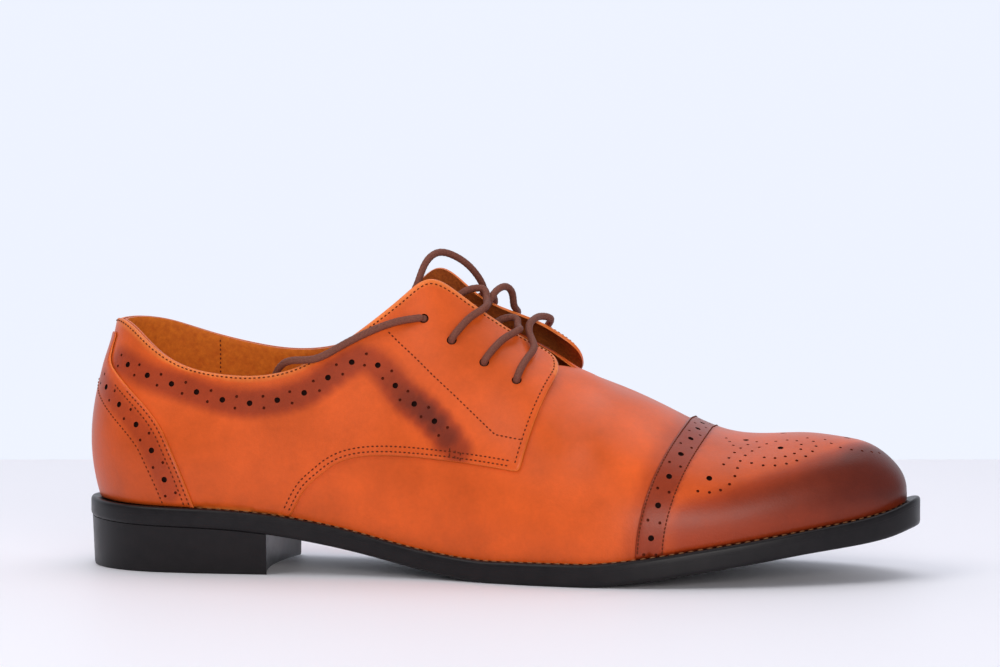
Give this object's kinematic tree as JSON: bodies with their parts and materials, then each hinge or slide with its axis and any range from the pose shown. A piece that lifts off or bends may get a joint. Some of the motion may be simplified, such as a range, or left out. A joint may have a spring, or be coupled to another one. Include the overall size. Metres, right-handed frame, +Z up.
{
  "type": "dress shoe",
  "caption": "Leather cap-toe derby shoe for the right foot, hollow and untied, with open lacing, a tongue, a stitched welt, a thin sole and a stacked heel.",
  "frame": {"origin": "on the floor, under the middle of the sole's length and width", "axes": "+X to the toe, -Y to the outer side of the foot, +Z up"},
  "size_m": [0.302, 0.1038, 0.1153],
  "materials": {
    "leather": "smooth tan calf leather, satin polish",
    "burnished": "tan calf leather burnished dark towards its edges, satin polish",
    "lining": "unpolished golden brown lining leather",
    "sole": "satin black",
    "lace": "round waxed brown cotton"
  },
  "bodies": {
    "root": {"outsole": "sole", "heel": "sole", "welt": "sole", "insole": "lining", "upper": "leather", "tongue": "leather", "quarter_lateral": "leather", "quarter_medial": "leather", "toe_cap": "burnished", "counter": "burnished", "lace_bar": "lace", "lace_crossings": "lace", "lace_end_lateral": "lace", "lace_end_medial": "lace"}
  },
  "joints": []
}
